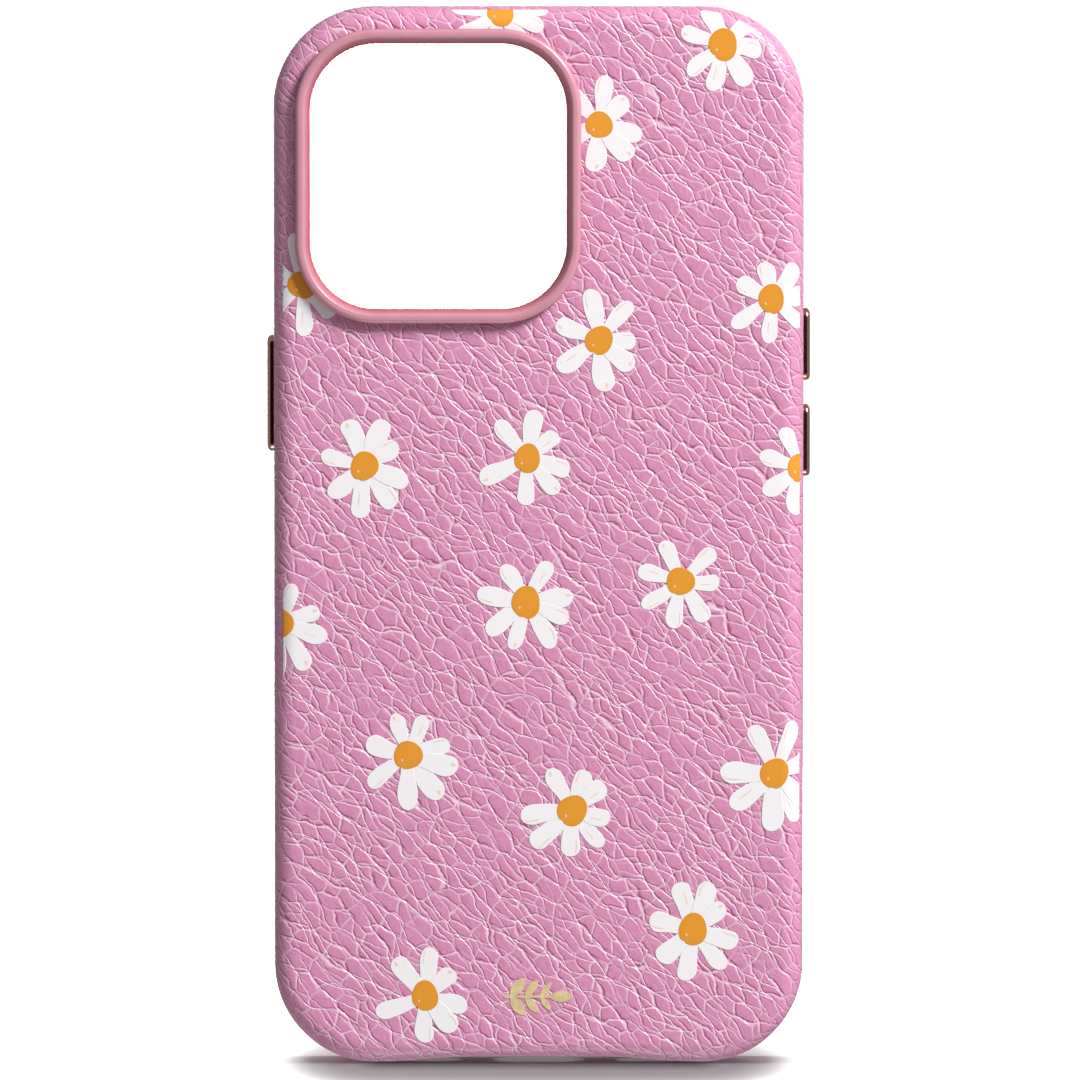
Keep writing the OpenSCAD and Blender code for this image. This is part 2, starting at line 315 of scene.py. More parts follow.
class Wrap:
    """The leather laid flat: a flat place is (x, z) on the back,
    and runs on over the edge and down the sides."""

    def __init__(self, sizes):
        self.edge = sizes.edge_radius
        self.back = LEATHER_LOW[1]
        self.front = LEATHER_HIGH[1]
        self.centre = np.array([0, (LEATHER_LOW[2] + LEATHER_HIGH[2]) / 2])
        self.half = (LEATHER_HIGH - LEATHER_LOW)[[0, 2]] / 2 - self.edge
        self.radius = sizes.corner_radius - self.edge
        self.arc = math.pi / 2 * self.edge
        self.side = self.front - self.back - self.edge
        self.sizes = sizes

    def scoop(self, x):
        run = self.sizes.scoop_width / 2 - np.abs(x)
        t = np.clip(run / self.sizes.scoop_slope, 0, 1)
        return self.sizes.scoop_depth * t * t * (3 - 2 * t)

    def place(self, flat):
        """The points in space and the outward directions of flat places."""
        out, foot, outward = rounded_box_distance(flat, self.centre, self.half, self.radius)
        turn = np.clip(out / self.edge, 0, math.pi / 2)
        over = np.sin(turn) * self.edge
        base = np.where(out[:, None] > 0, foot, flat)
        plan = base + outward * over[:, None]
        y = self.back + self.edge * (1 - np.cos(turn)) + np.maximum(out - self.arc, 0)
        low = np.clip(1 - plan[:, 1] / self.edge, 0, 1)
        z = plan[:, 1] + self.scoop(plan[:, 0]) * low
        points = np.column_stack([plan[:, 0], y, z])
        normals = np.column_stack([outward[:, 0] * np.sin(turn), -np.cos(turn), outward[:, 1] * np.sin(turn)])
        return points, normals

    def flat_side(self, y):
        """How far out a depth y on a side wall lies, from the start of the rounded edge."""
        return self.arc + y - self.back - self.edge


def mesh_object(name, points, faces, smooth=True):
    """A new object from points and faces, linked to the scene."""
    mesh = bpy.data.meshes.new(name)
    mesh.from_pydata([tuple(p) for p in points], [], [tuple(f) for f in faces])
    mesh.validate()
    mesh.polygons.foreach_set("use_smooth", [smooth] * len(mesh.polygons))
    made = bpy.data.objects.new(name, mesh)
    bpy.context.scene.collection.objects.link(made)
    return made


def wear(piece, finish):
    piece.data.materials.clear()
    piece.data.materials.append(finish.material)


def add_attribute(mesh, name, kind, values):
    layer = mesh.attributes.new(name, kind, "POINT")
    key = "vector" if kind == "FLOAT_VECTOR" else "value"
    layer.data.foreach_set(key, np.asarray(values, dtype=np.float32).ravel())


SKIRT_INSET = 1.0 * MM        # camera ring's skirt, in from its outer edge
RING_INSET = 0.95 * MM        # leather's edge, in from the camera ring's outer edge
FLANGE = 0.4 * MM             # how far a button's flange reaches past its head
SLOT_GAP = 0.2 * MM           # gap between a button and the leather round it
SOUND_X = 16.5 * MM           # middle of each sound slot
CORNER_CUT = 2.2 * MM         # how far out the corners of the print's border are cut, past the leather's own
PRINT_GAP = 0.15 * MM         # gap between the print and the leather's edges and openings
RELIEF_FADE = 0.9 * MM        # distance from an edge at which the grain reaches its full depth
PRESSED_SHARE = 0.16          # share of the grain's height that is pressed into the mesh
BUMP_SHARE = 0.29             # share of the grain's height that the shader's bump gives
EDGE_STEPS = 4                # steps that move places onto an edge
# Half runs and radii of the pill-shaped openings
PILLS = {"ring_switch_opening": (3.2 * MM, 2.8 * MM), "charging_port": (3.3 * MM, 3.2 * MM),
         "sound_slot": (3.1 * MM, 2.4 * MM)}


def openings(wrap):
    """Functions that give the signed distance of flat places from each opening in the leather."""
    low, high = RING_LOW[[0, 2]], RING_HIGH[[0, 2]]
    middle, reach, bend = (low + high) / 2, (high - low) / 2 - RING_INSET, wrap.sizes.ring_radius - RING_INSET
    found = [lambda p, at=middle, reach=reach, bend=bend: rounded_box_distance(p, at, reach, bend)[0]]
    out = wrap.half[0]
    for name in BUTTONS:
        low, high = (np.array(corner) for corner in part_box(name + "_cap"))
        middle, reach = (low + high) / 2, (high - low) / 2
        width = reach[1] - FLANGE
        spot = np.array([math.copysign(out + wrap.flat_side(middle[1]), middle[0]), middle[2]])
        run = np.array([0, reach[2] - FLANGE - width])
        found.append(lambda p, spot=spot, run=run, r=width + SLOT_GAP: pill_distance(p, spot, run, r))
    for cut in frame["record"]["physics"]["openings"]:
        half_run, radius = PILLS.get(cut["name"].replace("_left", "").replace("_right", ""), (0, 0))
        middle = np.mean(cut["box_m"], axis=0)
        down = wrap.flat_side(middle[1])
        if cut["name"] == "ring_switch_opening":
            spot, run = np.array([out + down, middle[2]]), np.array([0, half_run])
        elif radius:
            along = math.copysign(SOUND_X, middle[0]) if cut["name"].startswith("sound") else 0
            spot, run = np.array([along, wrap.edge - down]), np.array([half_run, 0])
        if radius:
            found.append(lambda p, spot=spot, run=run, r=radius: pill_distance(p, spot, run, r))
    return found


def inside_distance(wrap, cuts, flat):
    """How far flat places lie inside the leather's edges and openings."""
    out = rounded_box_distance(flat, wrap.centre, wrap.half, wrap.radius)[0]
    return np.min([wrap.arc + wrap.side - out] + [cut(flat) for cut in cuts], axis=0)


def leather_sheet(wrap, cell):
    """Flat places and square faces of the leather, with the border places moved onto its edges. Gives also
    which places are on a border, and how far inside the edges each place lies."""
    cuts = openings(wrap)
    reach = wrap.half + wrap.arc + wrap.side + cell
    counts = np.ceil(2 * reach / cell).astype(int)
    xs = wrap.centre[0] - reach[0] + cell * np.arange(counts[0] + 1)
    zs = wrap.centre[1] - reach[1] + cell * np.arange(counts[1] + 1)
    flat = np.stack(np.meshgrid(xs, zs, indexing="ij"), axis=-1).reshape(-1, 2)
    depth = inside_distance(wrap, cuts, flat)
    rows = len(zs)
    corner = (np.arange(counts[0])[:, None] * rows + np.arange(counts[1])[None]).ravel()
    faces = np.column_stack([corner, corner + rows, corner + rows + 1, corner + 1])
    faces = faces[(depth[faces] > -cell / 2).all(axis=1)]
    edges = np.sort(np.concatenate([faces[:, [i, (i + 1) % 4]] for i in range(4)]), axis=1)
    codes, uses = np.unique(edges[:, 0] * len(flat) + edges[:, 1], return_counts=True)
    open_edges = codes[uses == 1]
    border = np.unique(np.concatenate([open_edges // len(flat), open_edges % len(flat)])).astype(int)
    step = cell / 50
    for _ in range(EDGE_STEPS):
        spots = flat[border]
        here = inside_distance(wrap, cuts, spots)
        slope = np.column_stack([
            inside_distance(wrap, cuts, spots + [step, 0]) - inside_distance(wrap, cuts, spots - [step, 0]),
            inside_distance(wrap, cuts, spots + [0, step]) - inside_distance(wrap, cuts, spots - [0, step]),
        ]) / (2 * step)
        size = np.maximum((slope ** 2).sum(axis=1), 0.25)
        flat[border] = spots - slope * (here / size)[:, None]
    used, faces = np.unique(faces, return_inverse=True)
    flat = flat[used]
    return flat, faces.reshape(-1, 4), np.isin(used, border), inside_distance(wrap, cuts, flat)


def crease_lines(nodes, place, angle, spacing, width, shift):
    """Long wavy creases that run at an angle, fade out and start again. Gives their depth, up to 1, and the
    share of painted highlight along the raised lip on one side of them."""
    moved = nodes.vector("ADD", place, (shift, shift * 0.7, 0.0))
    turned = nodes.turn(moved, -angle)
    drawn = nodes.vector("MULTIPLY", turned, (0.09, 0.16, 0.0))
    wave = nodes.noise(drawn, 1.0, 2.0, 0.5) - 0.5
    across = nodes.add("ShaderNodeSeparateXYZ", {}, {"Vector": turned}, "Y") / spacing + wave * 2.5
    off = (across.math("FRACT") - 0.5) * spacing
    under = 0 - off
    valley = 1 - off.ramp(0.0, width * 0.6).most(under.ramp(0.0, width * 1.3))
    lip = under.ramp(width * 0.5, width * 1.5) * (1 - under.ramp(width * 1.5, width * 4.0))
    patch = nodes.noise(nodes.vector("MULTIPLY", turned, (0.1, 0.35, 1.0)), 1.0, 1.0).ramp(0.26, 0.56)
    # Painted highlight on the lit side of the crease, standing in for light on that wall.
    rubbed = under.ramp(0.0, width * 0.5) * (1 - under.ramp(width * 0.65, width * 1.3))
    return (valley - lip * 0.25) * patch, rubbed * patch


def grain_shape(nodes, place, grain, width):
    """The leather's grain at a flat place in millimetres: its height in millimetres, from 0 on its flats down
    to its creases, and the share of painted highlight beside its creases, up to 1. The width is that of one
    slope of a crease."""
    wander = nodes.vector("SUBTRACT", nodes.noise(place, 0.22, 2.0, 0.5, "Color"), (0.5, 0.5, 0.5))
    shake = nodes.vector("SUBTRACT", nodes.noise(place, 1.0, 2.0, 0.6, "Color"), (0.5, 0.5, 0.5))
    bent = nodes.vector("ADD", place, nodes.vector("MULTIPLY", wander, (1.8, 1.8, 0.0)))
    bent = nodes.vector("ADD", bent, nodes.vector("MULTIPLY", shake, (0.5, 0.5, 0.0)))
    steep, steep_highlight = crease_lines(nodes, bent, grain.angle - math.radians(14), grain.spacing, width, 0.0)
    slack, slack_highlight = crease_lines(nodes, bent, grain.angle + math.radians(16), grain.spacing * 1.2, width,
                                    57.0)
    turned = nodes.turn(bent, -grain.angle)
    drawn = nodes.vector("MULTIPLY", turned, (1 / grain.stretch, 1.0, 0.0))
    pebbles = nodes.cracks(drawn, 1 / grain.pebble, 0.9)
    deep = nodes.noise(nodes.vector("ADD", place, (23.0, 5.0, 0.0)), 0.3, 2.0).ramp(0.35, 0.62)
    net = (1 - pebbles.ramp(0.0, width / grain.pebble)) * (0.4 + deep * 0.5)
    # A painted highlight along one side of the short creases as well.
    beside = nodes.cracks(nodes.vector("ADD", drawn, (0.0, width, 0.0)), 1 / grain.pebble, 0.9)
    net_highlight = (1 - beside.ramp(0.0, width * 0.7 / grain.pebble)) * (0.45 + deep * 0.55)
    small = nodes.cracks(nodes.vector("ADD", drawn, (31.0, 17.0, 0.0)), 1.9 / grain.pebble)
    some = nodes.noise(nodes.vector("ADD", place, (53.0, 0.0, 0.0)), 0.3, 1.0).ramp(0.4, 0.6)
    fine = (1 - small.ramp(0.0, width * 1.9 / grain.pebble)) * some * 0.35
    crown = pebbles.ramp(0.0, 0.5) * 0.12 - 0.12
    height = (crown - steep - slack * 0.9 - net.most(fine)) * grain.depth / MM
    return height, steep_highlight.most(slack_highlight).most(net_highlight)


def leather_finish(colours, grain):
    finish = Finish("grained_leather", roughness=0.3, specular_ior_level=0.6)
    nodes = finish.nodes
    place = finish.attribute("flat_place", "Vector")
    relief = finish.attribute("relief")
    height, rubbed = grain_shape(nodes, place, grain, grain.crease_width)
    pores = nodes.noise(place, 3.4, 3.0, 0.62)
    dapple = nodes.noise(place, 0.9, 4.0, 0.65)
    crease = (0 - height / (grain.depth / MM)).ramp(0.3, 1.0)
    specks = nodes.noise(place, 2.2, 4.0, 0.75).ramp(0.52, 0.7) * 0.28
    lighter = nodes.mix(dapple.ramp(0.3, 0.75), rgba(tuple(c * 0.93 for c in colours.leather)),
                        rgba(tuple(min(1, c * 1.05) for c in colours.leather)))
    # Painted shade: the creases' valleys are painted darker. The random specks are the leather's own tone.
    specked_and_crease_shaded = nodes.mix((crease * 0.95).most(specks), lighter, rgba(colours.crease))
    # Painted highlight: near-white colour along the lit side of the creases.
    finish.feed("Base Color", nodes.mix(rubbed * relief * 0.9, specked_and_crease_shaded, rgba(colours.rubbed)))
    finish.feed("Roughness", 0.32 + crease * 0.04 + (pores - 0.5) * 0.2)
    finish.bump((height * BUMP_SHARE + pores * 0.02 + dapple * 0.03) * relief, MM, 1.0)
    return finish


def add_relief(piece, grain):
    """Geometry nodes that press the grain's creases into the mesh."""
    tree = bpy.data.node_groups.new("pressed_grain", "GeometryNodeTree")
    tree.interface.new_socket("Geometry", in_out="INPUT", socket_type="NodeSocketGeometry")
    tree.interface.new_socket("Geometry", in_out="OUTPUT", socket_type="NodeSocketGeometry")
    nodes = Nodes(tree)
    mesh_in = nodes.add("NodeGroupInput")
    place, relief = (nodes.add("GeometryNodeInputNamedAttribute", {"data_type": kind}, {"Name": name})
                     for name, kind in (("flat_place", "FLOAT_VECTOR"), ("relief", "FLOAT")))
    height, _ = grain_shape(nodes, place, grain, grain.crease_width * 2)
    depth = height.least(0.0) * relief * (PRESSED_SHARE * MM)
    offset = nodes.add("ShaderNodeVectorMath", {"operation": "SCALE"},
                       {0: nodes.add("GeometryNodeInputNormal"), "Scale": depth})
    pressed = nodes.add("GeometryNodeSetPosition", {}, {"Geometry": mesh_in, "Offset": offset})
    output = tree.nodes.new("NodeGroupOutput")
    tree.links.new(pressed.socket, output.inputs[0])
    modifier = piece.modifiers.new("pressed_grain", "NODES")
    modifier.node_group = tree


def build_leather(sizes, grain, colours):
    wrap = Wrap(sizes)
    flat, faces, border, depth = leather_sheet(wrap, sizes.cell)
    points, normals = wrap.place(flat)
    inner = points - normals * sizes.thickness
    count = len(points)
    below = faces[:, ::-1] + count
    loose = np.concatenate([faces[:, [i, (i + 1) % 4]] for i in range(4)])
    codes = np.sort(loose, axis=1) @ [count, 1]
    _, first, uses = np.unique(codes, return_index=True, return_counts=True)
    rim = loose[first[uses == 1]]
    walls = np.column_stack([rim[:, 1], rim[:, 0], rim[:, 0] + count, rim[:, 1] + count])
    everywhere = np.concatenate([points, inner])
    piece = mesh_object("leather_wrap", everywhere, np.concatenate([faces, below, walls]))
    flat_mm = np.column_stack([flat / MM, np.zeros(count)])
    add_attribute(piece.data, "flat_place", "FLOAT_VECTOR", np.concatenate([flat_mm, flat_mm]))
    out = rounded_box_distance(flat, wrap.centre, wrap.half, wrap.radius)[0]
    over = np.clip(out / wrap.arc, 0, 1)
    relief = np.clip(depth / RELIEF_FADE, 0, 1) * (1 - 0.55 * over)
    add_attribute(piece.data, "relief", "FLOAT", np.concatenate([relief, np.zeros(count)]))
    hidden = piece.vertex_groups.new(name="inner_side")
    hidden.add([int(i) for i in np.flatnonzero(~border) + count], 1.0, "REPLACE")
    thin = piece.modifiers.new("thin_inner_side", "DECIMATE")
    thin.ratio = 0.55
    thin.vertex_group = hidden.name
    add_relief(piece, grain)
    wear(piece, leather_finish(colours, grain))
    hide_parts("leather_cover")
    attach(piece, "case")


# ---------------------------------------------------------------- printed daisies

# Petals of each kind of daisy: their directions in degrees from level right, and their reach in millimetres
KINDS = {
    "open": ((112, 5.9), (42, 6.2), (-6, 5.2), (-57, 6.4), (-101, 6.4), (217, 6.2), (164, 5.9)),
    "round": ((107, 6.6), (68, 6.8), (34, 5.4), (-20, 6.3), (-53, 6.8), (-97, 7.0), (224, 6.2), (168, 6.0)),
    "wide": ((118, 5.9), (61, 6.3), (7, 6.4), (-21, 6.2), (-57, 7.1), (-104, 6.6), (215, 6.7), (172, 6.7)),
    "long": ((108, 5.9), (65, 5.7), (18, 5.8), (-18, 6.9), (-54, 7.3), (-93, 7.4), (214, 6.7), (166, 5.9)),
    "curved": ((118, 6.4), (71, 5.7), (38, 5.6), (-17, 5.2), (-54, 6.3), (-94, 6.2), (222, 7.2), (184, 7.0)),
    "loose": ((82, 6.6), (42, 5.2), (-14, 5.9), (-50, 6.2), (-94, 6.3), (204, 7.0), (131, 6.5)),
    "tall": ((98, 7.0), (53, 6.7), (0, 4.9), (-42, 5.9), (-86, 6.9), (215, 6.8), (157, 6.2)),
    "low": ((98, 5.0), (49, 5.7), (4, 5.0), (-38, 5.6), (-92, 6.0), (215, 6.5), (155, 5.2)),
    "big": ((112, 7.1), (66, 7.5), (18, 7.0), (-40, 7.0), (-60, 7.2), (-93, 7.8), (221, 7.4), (181, 7.3)),
}
# Across, height and kind of each daisy, in millimetres from the middle of the bottom edge
DAISIES = (
    (26.2, 145.2, "open"), (8.6, 133.8, "loose"), (-33.6, 111.1, "tall"), (33.1, 109.1, "low"),
    (8.6, 103.2, "tall"), (-1.6, 86.4, "loose"), (-24.8, 85.3, "round"), (37.4, 85.1, "open"),
    (20.2, 68.9, "open"), (-1.8, 65.9, "wide"), (-37.1, 62.9, "long"), (-18.6, 44.1, "long"),
    (33.6, 41.5, "big"), (4.8, 36.2, "curved"), (22.0, 19.2, "round"), (-16.2, 9.7, "loose"),
    (-5.4, 149.9, "wide"),
)
PETAL_ROWS = 20
PETAL_COLUMNS = 9
USUAL_REACH = 6.4             # in millimetres; longer petals are wider, too
CENTRE_RINGS = 8
CENTRE_SPOKES = 48


def petal_places(rng, middle, direction, reach, width):
    """Flat places of one petal's grid, and each place's share along and across it. A petal is a paddle with a
    round tip, a slight bend and uneven edges."""
    t = 1 - np.cos(np.linspace(0, math.pi / 2, PETAL_ROWS))
    t = t[-1] - t[::-1]
    across = np.sin(np.linspace(-math.pi / 2, math.pi / 2, PETAL_COLUMNS))
    tip = rng.uniform(0.69, 0.8)
    grow = np.clip(t / tip, 0, 1)
    base = rng.uniform(0.56, 0.74)
    swell = base + (1 - base) * grow * grow * (3 - 2 * grow)
    close = np.sqrt(np.clip(1 - (np.maximum(t - tip, 0) / (1 - tip)) ** 2.1, 0, 1))
    half = width / 2 * rng.uniform(0.78, 1.06) * swell * close
    sides = []
    for side in range(2):
        waves = rng.uniform(0.02, 0.06, 2), rng.uniform(0, 2 * math.pi, 2)
        sides.append(1 + sum(a * np.sin((5 + 4 * k) * t + p) for k, (a, p) in enumerate(zip(*waves))))
    edge = np.where(across[None] < 0, sides[0][:, None], sides[1][:, None])
    start = 0.12
    along = (start + (1 - start) * t)[:, None] * reach * np.ones_like(across)[None]
    lean = rng.uniform(-0.07, 0.07) * reach * (t ** 2)[:, None]
    off = half[:, None] * across[None] * edge + lean
    turn = math.radians(direction)
    x = middle[0] + along * math.cos(turn) - off * math.sin(turn)
    z = middle[1] + along * math.sin(turn) + off * math.cos(turn)
    flat = np.column_stack([x.ravel(), z.ravel()])
    return flat, np.repeat(t, PETAL_COLUMNS), np.tile(across, PETAL_ROWS)


def centre_places(rng, middle, radius):
    """Flat places of one uneven round centre, ring by ring outwards, and how far out each place is."""
    turns = np.linspace(0, 2 * math.pi, CENTRE_SPOKES, endpoint=False)
    edge = 1 + 0.05 * np.cos(2 * turns + rng.uniform(0, 6)) + 0.035 * np.cos(3 * turns + rng.uniform(0, 6))
    nick = (turns - rng.uniform(3.7, 4.7) + math.pi) % (2 * math.pi) - math.pi
    edge -= 0.09 * np.exp(-(nick / 0.13) ** 2)
    shares = np.sin(np.linspace(0, math.pi / 2, CENTRE_RINGS + 1))[1:]
    rings = radius * shares[:, None] * (1 + (edge - 1)[None] * shares[:, None] ** 3)
    x = middle[0] + rings * np.cos(turns)
    z = middle[1] + rings * 1.06 * np.sin(turns)
    places = np.concatenate([[middle], np.column_stack([x.ravel(), z.ravel()])])
    return places, np.concatenate([[0.0], np.repeat(shares, CENTRE_SPOKES)])


def grid_faces(rows, columns):
    corner = (np.arange(rows - 1)[:, None] * columns + np.arange(columns - 1)[None]).ravel()
    return np.column_stack([corner, corner + 1, corner + columns + 1, corner + columns])


def fan_faces(rings, spokes):
    here = np.arange(spokes)
    after = (here + 1) % spokes
    faces = [(0, 1 + i, 1 + j) for i, j in zip(here, after)]
    for ring in range(rings - 1):
        low = 1 + ring * spokes
        faces += [(low + i, low + spokes + i, low + spokes + j, low + j) for i, j in zip(here, after)]
    return faces


class Print:
    """Collects patches of ink, trims them at the print's border and the leather's openings, and lays them
    on the leather."""

    def __init__(self, name, wrap, cuts, sizes):
        self.name, self.wrap, self.cuts = name, wrap, cuts
        self.low = np.array([-wrap.half[0] - sizes.left_border, -1.0])
        self.high = wrap.centre + wrap.half + sizes.right_border
        self.border = sizes.right_border
        self.points, self.faces, self.values = [], [], []
        self.count = 0

    def depth(self, flat):
        """How far flat places lie inside the print's border, which cuts the corners, and the openings."""
        wrap = self.wrap
        out = rounded_box_distance(flat, wrap.centre, wrap.half, wrap.radius + CORNER_CUT)[0]
        return np.minimum(inside_distance(wrap, self.cuts, flat) - PRINT_GAP, self.border - out)

    def trim(self, flat, faces):
        """Pulls places that lie past a border back onto it, and drops the faces that lie wholly past it."""
        past = (flat < self.low).any(axis=1) | (flat > self.high).any(axis=1) | (self.depth(flat) < 0)
        flat = np.clip(flat, self.low, self.high)
        step = 0.01 * MM
        for _ in range(EDGE_STEPS):
            here = self.depth(flat)
            slope = np.column_stack([self.depth(flat + step * side) - here for side in np.eye(2)]) / step
            move = np.where(here < 0, -here, 0)[:, None] * slope
            flat = flat + move / np.maximum((slope ** 2).sum(axis=1), 0.25)[:, None]
        return flat, [face for face in faces if not past[list(face)].all()]

    def add(self, flat, faces, height, values):
        flat, faces = self.trim(flat, faces)
        points, normals = self.wrap.place(flat)
        self.points.append(points + normals * height)
        self.faces += [[int(i) + self.count for i in face] for face in faces]
        self.values.append(np.column_stack(values))
        self.count += len(flat)

    def finish(self, finish, names, thickness):
        """Makes the ink one object, each patch a thin closed solid that reaches down into the leather."""
        made = mesh_object(self.name, np.concatenate(self.points), self.faces)
        values = np.concatenate(self.values)
        for column, name in enumerate(names):
            add_attribute(made.data, name, "FLOAT", values[:, column])
        work = bmesh.new()
        work.from_mesh(made.data)
        bmesh.ops.dissolve_degenerate(work, dist=1e-7, edges=work.edges)
        bmesh.ops.delete(work, geom=[v for v in work.verts if not v.link_faces], context="VERTS")
        bmesh.ops.recalc_face_normals(work, faces=work.faces)
        for face in work.faces:
            if face.normal.y > 0:
                face.normal_flip()
        work.to_mesh(made.data)
        work.free()
        thick = made.modifiers.new("ink_thickness", "SOLIDIFY")
        thick.thickness = thickness
        thick.offset = -1
        wear(made, finish)
        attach(made, "case")


def ink_finish(colours):
    """Matt white ink with a paper-like tooth, and a fine coral stroke near some petals' tips."""
    finish = Finish("petal_ink", roughness=0.75, specular_ior_level=0.25)
    nodes = finish.nodes
    place = in_millimetres(finish)
    along, across, pick = (finish.attribute(name) for name in ("along", "across", "pick"))
    tooth = nodes.noise(place, 4.5, 4.0, 0.7)
    slow = nodes.noise(place, 0.7, 3.0)
    thin = 1 - abs(abs(across - slow * 0.3 + 0.15) - 0.62).ramp(0.03, 0.08)
    stretch = along.ramp(0.55, 0.65) * (1 - along.ramp(0.88, 0.96))
    stroke = thin * stretch * pick.ramp(0.6, 0.62) * across.ramp(0.0, 0.1)
    streak = (1 - abs(across + 0.2).ramp(0.02, 0.09)) * along.ramp(0.4, 0.5) * (1 - along.ramp(0.68, 0.78))
    streak = streak * pick.ramp(0.3, 0.32) * (1 - pick.ramp(0.45, 0.47))
    spot = 1 - ((along - 0.88) * (along - 0.88) * 9 + (across - 0.25) * (across - 0.25)).ramp(0.02, 0.05)
    spot = spot * (1 - pick.ramp(0.2, 0.22))
    marks = stroke.most(streak).most(spot * 0.8) * tooth.ramp(0.3, 0.5)
    base = shades(finish, tooth.ramp(0.3, 0.7) * 0.6, colours.petal, 0.93)
    finish.feed("Base Color", nodes.mix(marks * 0.8, base, rgba(colours.pencil)))
    finish.bump(tooth * 0.03 + slow * 0.03, MM, 0.6)
    return finish


def centre_finish(colours):
    """Orange ink, a little deeper towards its edge, with a small pale fleck."""
    finish = Finish("centre_ink", roughness=0.6, specular_ior_level=0.3)
    nodes = finish.nodes
    place = in_millimetres(finish)
    share, across, down = (finish.attribute(name) for name in ("share", "left", "down"))
    tooth = nodes.noise(place, 4.0, 4.0, 0.7)
    fleck = 1 - ((across + 0.42) * (across + 0.42) * 2 + (down + 0.35) * (down + 0.35)).ramp(0.004, 0.012)
    deeper = share.ramp(0.6, 1.0) * 0.3 + tooth.ramp(0.35, 0.7) * 0.3
    base = shades(finish, deeper, colours.centre, 0.86)
    finish.feed("Base Color", nodes.mix(fleck * 0.5, base, rgba(colours.petal)))
    finish.bump(tooth * 0.03, MM, 0.6)
    return finish


def build_daisies(sizes, look, colours):
    wrap = Wrap(sizes)
    cuts = openings(wrap)
    rng = np.random.default_rng(look.seed)
    petals = Print("daisy_petals", wrap, cuts, look)
    centres = Print("daisy_centres", wrap, cuts, look)
    petal_grid = grid_faces(PETAL_ROWS, PETAL_COLUMNS)
    centre_fan = fan_faces(CENTRE_RINGS, CENTRE_SPOKES)
    for across, up, kind in DAISIES:
        middle = np.array([across * MM, up * MM])
        for layer, (direction, reach) in enumerate(KINDS[kind]):
            width = look.petal_width * (0.8 + 0.2 * reach / USUAL_REACH)
            flat, along, side = petal_places(rng, middle, direction, reach * look.reach * MM, width)
            height = look.ink_height * (1 + 0.12 * (layer % 4))
            petals.add(flat, petal_grid, height, (along, side, np.full(len(flat), rng.random())))
        radius = look.centre_radius * rng.uniform(0.92, 1.06)
        flat, share = centre_places(rng, middle, radius)
        spread = (flat - middle) / radius
        crown = look.ink_height * (2.2 - 0.5 * share ** 4)[:, None]
        centres.add(flat, centre_fan, crown, (share, spread[:, 0], spread[:, 1]))
    petals.finish(ink_finish(colours), ("along", "across", "pick"), look.ink_height * 2)
    centres.finish(centre_finish(colours), ("share", "left", "down"), look.ink_height * 3)


# ---------------------------------------------------------------- camera ring

def enamel_finish(colours):
    """Smooth coral enamel with a slight pooling of colour, a painted highlight along its crest, and the
    faintest ripple.
    """
    finish = Finish("coral_enamel", roughness=0.3, specular_ior_level=0.5, coat_roughness=0.12)
    nodes = finish.nodes
    place = in_millimetres(finish)
    pool = nodes.noise(place, 0.35, 3.0)
    specks = nodes.noise(place, 5.0, 2.0)
    base = shades(finish, pool.ramp(0.3, 0.7), colours.enamel, 0.88)
    # Painted highlight: the enamel is painted paler along the ring's crest.
    thin = finish.attribute("crest") * (1.1 - pool * 0.3)
    finish.feed("Base Color", nodes.mix(thin, base, rgba(colours.enamel_crest)))
    finish.feed("Roughness", 0.26 + specks * 0.12)
    finish.feed("Coat Weight", pool * 0.2 + 0.3)
    finish.bump(nodes.noise(place, 1.2, 2.0) * 0.02 + specks * 0.004, MM, 1.0)
    return finish


def arc(middle, radius, start, end, count):
    turns = np.radians(np.linspace(start, end, count))
    return [(middle[0] + radius * math.cos(t), middle[1] + radius * math.sin(t)) for t in turns]


def ring_profile(sizes):
    """The ring's section, once round, as places: in from its outer edge, and up from the band's seat."""
    band, high, skirt = sizes.ring_band, sizes.ring_height, sizes.ring_skirt
    outer, crest, slope = 0.7 * MM, 0.42 * MM, 0.85 * MM
    drop = high - 1.5 * MM
    points = [(SKIRT_INSET, -skirt), (SKIRT_INSET, 0), (0.04 * MM, 0)]
    points += arc((outer, high - outer), outer, 180, 90, 10)
    points += arc((band - slope - 0.3 * MM, high - crest), crest, 84, 36, 6)
    points += [(band - 0.2 * MM, drop + 0.42 * MM), (band - 0.05 * MM, drop + 0.12 * MM)]
    points.append((band, drop - 0.1 * MM))
    points += [(band, -skirt + 0.1 * MM), (band - 0.1 * MM, -skirt)]
    return points


